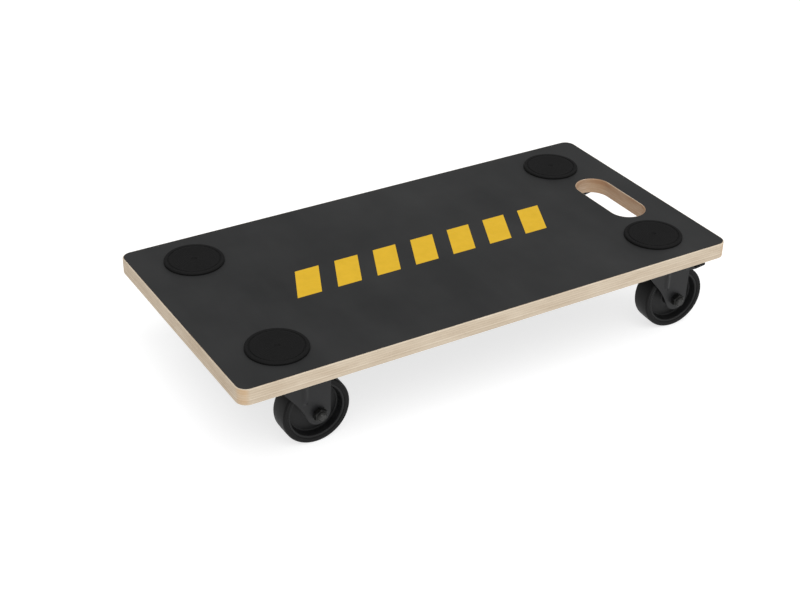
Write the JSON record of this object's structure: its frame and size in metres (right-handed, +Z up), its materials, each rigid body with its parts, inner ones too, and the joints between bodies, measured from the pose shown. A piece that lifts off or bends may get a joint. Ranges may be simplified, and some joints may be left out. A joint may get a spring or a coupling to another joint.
{
  "type": "platform dolly",
  "caption": "Flat rectangular plywood platform dolly with a black film top, a carry slot at one end, round non-slip pads, and swivel castors with foot brakes at the slot end.",
  "frame": {"origin": "on the floor, under the middle of the board", "axes": "+X along the board towards the carry slot, +Y across the board, +Z up"},
  "size_m": [0.5901, 0.295, 0.117],
  "materials": {
    "plywood": "bare birch edge",
    "film": "fine-grained black phenolic film",
    "yellow_paint": "screen-printed yellow paint",
    "pad_rubber": "matte",
    "black_steel": "satin black coating",
    "zinc_steel": "bright zinc plate",
    "black_oxide": "black oxide, lightly oiled",
    "ball_steel": "polished",
    "wheel_plastic": "moulded polypropylene",
    "tyre_rubber": "matte"
  },
  "bodies": {
    "board": {"deck_board": "plywood", "top_film": "film", "bottom_film": "film", "deck_marking": "yellow_paint", "pad_front_left": "pad_rubber", "pad_front_right": "pad_rubber", "pad_back_right": "pad_rubber", "pad_back_left": "pad_rubber", "castor_plate_front_left": "black_steel", "plate_screws_front_left": "zinc_steel", "kingpin_front_left": "zinc_steel", "lower_race_front_left": "zinc_steel", "castor_plate_front_right": "black_steel", "plate_screws_front_right": "zinc_steel", "kingpin_front_right": "zinc_steel", "lower_race_front_right": "zinc_steel", "castor_plate_back_right": "black_steel", "plate_screws_back_right": "zinc_steel", "kingpin_back_right": "zinc_steel", "lower_race_back_right": "zinc_steel", "castor_plate_back_left": "black_steel", "plate_screws_back_left": "zinc_steel", "kingpin_back_left": "zinc_steel", "lower_race_back_left": "zinc_steel"},
    "swivel_front_left": {"swivel_balls_front_left": "ball_steel", "fork_front_left": "black_steel", "axle_bolt_front_left": "black_oxide", "axle_nut_front_left": "black_oxide", "axle_sleeve_front_left": "zinc_steel"},
    "wheel_front_left": {"wheel_core_front_left": "wheel_plastic", "tyre_front_left": "tyre_rubber"},
    "swivel_front_right": {"swivel_balls_front_right": "ball_steel", "fork_front_right": "black_steel", "axle_bolt_front_right": "black_oxide", "axle_nut_front_right": "black_oxide", "axle_sleeve_front_right": "zinc_steel", "pedal_pin_front_right": "black_steel"},
    "wheel_front_right": {"wheel_core_front_right": "wheel_plastic", "tyre_front_right": "tyre_rubber"},
    "pedal_front_right": {"brake_pedal_front_right": "black_steel"},
    "swivel_back_right": {"swivel_balls_back_right": "ball_steel", "fork_back_right": "black_steel", "axle_bolt_back_right": "black_oxide", "axle_nut_back_right": "black_oxide", "axle_sleeve_back_right": "zinc_steel", "pedal_pin_back_right": "black_steel"},
    "wheel_back_right": {"wheel_core_back_right": "wheel_plastic", "tyre_back_right": "tyre_rubber"},
    "pedal_back_right": {"brake_pedal_back_right": "black_steel"},
    "swivel_back_left": {"swivel_balls_back_left": "ball_steel", "fork_back_left": "black_steel", "axle_bolt_back_left": "black_oxide", "axle_nut_back_left": "black_oxide", "axle_sleeve_back_left": "zinc_steel"},
    "wheel_back_left": {"wheel_core_back_left": "wheel_plastic", "tyre_back_left": "tyre_rubber"}
  },
  "joints": [
    {"name": "swivel_front_left", "type": "hinge", "parent": "board", "child": "swivel_front_left", "pos_m": [-0.227, -0.101, 0.0863], "axis": [0, 0, 1], "continuous": true},
    {"name": "roll_front_left", "type": "hinge", "parent": "swivel_front_left", "child": "wheel_front_left", "pos_m": [-0.197, -0.101, 0.0375], "axis": [0, 1, 0], "continuous": true},
    {"name": "swivel_front_right", "type": "hinge", "parent": "board", "child": "swivel_front_right", "pos_m": [0.227, -0.101, 0.0863], "axis": [0, 0, 1], "continuous": true},
    {"name": "roll_front_right", "type": "hinge", "parent": "swivel_front_right", "child": "wheel_front_right", "pos_m": [0.25693, -0.10309, 0.0375], "axis": [0.0698, 0.9976, 0], "continuous": true},
    {"name": "brake_front_right", "type": "hinge", "parent": "swivel_front_right", "child": "pedal_front_right", "pos_m": [0.26491, -0.10365, 0.078], "axis": [0.0698, 0.9976, 0], "range_deg": [0, 10]},
    {"name": "swivel_back_right", "type": "hinge", "parent": "board", "child": "swivel_back_right", "pos_m": [0.227, 0.101, 0.0863], "axis": [0, 0, 1], "continuous": true},
    {"name": "roll_back_right", "type": "hinge", "parent": "swivel_back_right", "child": "wheel_back_right", "pos_m": [0.257, 0.101, 0.0375], "axis": [0, 1, 0], "continuous": true},
    {"name": "brake_back_right", "type": "hinge", "parent": "swivel_back_right", "child": "pedal_back_right", "pos_m": [0.265, 0.101, 0.078], "axis": [0, 1, 0], "range_deg": [0, 10]},
    {"name": "swivel_back_left", "type": "hinge", "parent": "board", "child": "swivel_back_left", "pos_m": [-0.227, 0.101, 0.0863], "axis": [0, 0, 1], "continuous": true},
    {"name": "roll_back_left", "type": "hinge", "parent": "swivel_back_left", "child": "wheel_back_left", "pos_m": [-0.197, 0.101, 0.0375], "axis": [0, 1, 0], "continuous": true}
  ]
}
